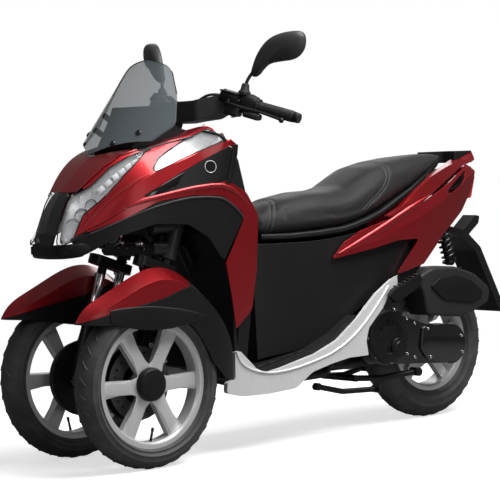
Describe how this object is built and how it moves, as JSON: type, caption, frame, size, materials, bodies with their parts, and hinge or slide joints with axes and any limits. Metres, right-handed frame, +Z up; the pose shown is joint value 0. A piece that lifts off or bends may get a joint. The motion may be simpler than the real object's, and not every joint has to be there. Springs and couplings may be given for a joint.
{
  "type": "reverse trike",
  "caption": "Leaning scooter with two steered wheels at the front and one driven wheel at the rear, smoked screen and stepped seat",
  "frame": {"origin": "on the floor, below the middle of the overall length and width", "axes": "+X forward, +Y to the rider's left, +Z up"},
  "size_m": [1.9049, 0.7768, 1.2793],
  "materials": {
    "candy_red": "metallic candy red, clear coated",
    "satin_black": "satin moulded black",
    "gloss_black": "gloss black",
    "charcoal": "grained charcoal",
    "silver_plastic": "matt silver paint",
    "black_metal": "black paint on steel",
    "steel": "machined steel",
    "alloy": "silver painted cast alloy",
    "tyre": "matt tyre rubber",
    "rubber": "matt rubber",
    "seat_vinyl": "grained black vinyl",
    "smoked_screen": "smoked clear",
    "clear_lens": "clear lens",
    "red_lens": "red lens"
  },
  "bodies": {
    "chassis": {"frame": "black_metal", "front_hood": "candy_red", "nose_mask": "gloss_black", "front_lamps": "clear_lens", "side_cowls": "candy_red", "shoulder_panels": "satin_black", "leg_shield_bands": "candy_red", "arch_panels": "charcoal", "windscreen": "smoked_screen", "dash_panel": "satin_black", "inner_leg_shield": "satin_black", "wheelhouse_liner": "satin_black", "lower_side_panels": "silver_plastic", "floor_board": "satin_black", "body_cover": "satin_black", "storage_tub": "satin_black", "rear_panels": "candy_red", "grab_rails": "candy_red", "rear_carrier": "satin_black", "tail_lamp": "red_lens", "rear_mudguard": "satin_black", "engine_block": "black_metal", "drive_case": "black_metal", "air_cleaner": "charcoal", "rear_shocks": "black_metal", "exhaust": "black_metal", "passenger_footrests": "black_metal", "lean_arms": "black_metal", "knuckles": "black_metal", "rear_axle_arm": "black_metal"},
    "handlebar": {"handlebar": "black_metal", "bar_cover": "satin_black", "grips": "rubber", "bar_controls": "satin_black", "mirrors": "satin_black"},
    "left_fork": {"fork_left": "black_metal", "fender_left": "candy_red", "fender_skirt_left": "satin_black"},
    "right_fork": {"fork_right": "black_metal", "fender_right": "candy_red", "fender_skirt_right": "satin_black"},
    "left_wheel": {"front_tyre_left": "tyre", "front_rim_left": "alloy"},
    "right_wheel": {"front_tyre_right": "tyre", "front_rim_right": "alloy"},
    "rear_wheel": {"rear_tyre": "tyre", "rear_rim": "alloy"},
    "seat": {"seat": "seat_vinyl"},
    "centre_stand": {"centre_stand": "black_metal"},
    "side_stand": {"side_stand": "black_metal"}
  },
  "joints": [
    {"name": "steering", "type": "hinge", "parent": "chassis", "child": "handlebar", "pos_m": [0.51572, 0, 0.7], "axis": [-0.342, 0, 0.9397], "range_deg": [-30, 30]},
    {"name": "steer_left", "type": "hinge", "parent": "chassis", "child": "left_fork", "pos_m": [0.53392, 0.114, 0.65], "axis": [-0.342, 0, 0.9397], "range_deg": [-30, 30]},
    {"name": "steer_right", "type": "hinge", "parent": "chassis", "child": "right_fork", "pos_m": [0.53392, -0.114, 0.65], "axis": [-0.342, 0, 0.9397], "range_deg": [-30, 30]},
    {"name": "left_wheel_spin", "type": "hinge", "parent": "left_fork", "child": "left_wheel", "pos_m": [0.7025, 0.1925, 0.25], "axis": [0, 1, 0], "continuous": true},
    {"name": "right_wheel_spin", "type": "hinge", "parent": "right_fork", "child": "right_wheel", "pos_m": [0.7025, -0.1925, 0.25], "axis": [0, 1, 0], "continuous": true},
    {"name": "rear_wheel_spin", "type": "hinge", "parent": "chassis", "child": "rear_wheel", "pos_m": [-0.6075, 0, 0.251], "axis": [0, 1, 0], "continuous": true},
    {"name": "seat_hinge", "type": "hinge", "parent": "chassis", "child": "seat", "pos_m": [0.18, 0, 0.642], "axis": [0, 1, 0], "range_deg": [0, 55]},
    {"name": "centre_stand_pivot", "type": "hinge", "parent": "chassis", "child": "centre_stand", "pos_m": [-0.23, 0, 0.168], "axis": [0, -1, 0], "range_deg": [0, 70]},
    {"name": "side_stand_pivot", "type": "hinge", "parent": "chassis", "child": "side_stand", "pos_m": [-0.02, 0.126, 0.165], "axis": [0, -1, 0], "range_deg": [0, 80]}
  ],
  "couplings": [
    {"joint": "steer_left", "follows": "steering", "ratio": 1},
    {"joint": "steer_right", "follows": "steering", "ratio": 1}
  ]
}
